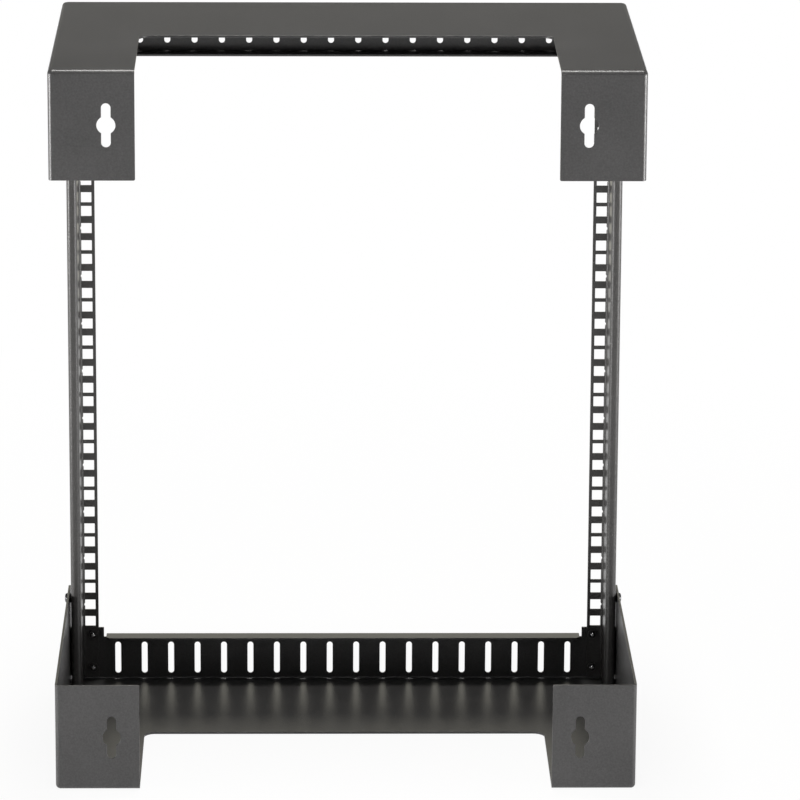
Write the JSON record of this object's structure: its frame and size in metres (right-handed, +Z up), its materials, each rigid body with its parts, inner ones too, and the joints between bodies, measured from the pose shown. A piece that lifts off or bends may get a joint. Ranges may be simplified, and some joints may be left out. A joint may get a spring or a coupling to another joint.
{
  "type": "wall mount open frame rack",
  "caption": "Open frame wall rack: two folded steel brackets with slotted front panels and keyhole ears, joined by two upright rails with square equipment holes.",
  "frame": {"origin": "on the ground under the middle of the rack: bottom centre of the box round the whole part", "axes": "+X across the rack, to the right of someone who faces its front; +Y from the equipment side at the front to the wall at the back; +Z up"},
  "size_m": [0.504, 0.304, 0.637],
  "materials": {
    "bracket_coat": "fine textured semi-matt powder coat, dark grey to black",
    "rail_coat": "fine textured semi-matt powder coat, dark grey to black"
  },
  "bodies": {
    "root": {"bottom_bracket": "bracket_coat", "top_bracket": "bracket_coat", "right_rail": "rail_coat", "left_rail": "rail_coat"}
  },
  "joints": []
}
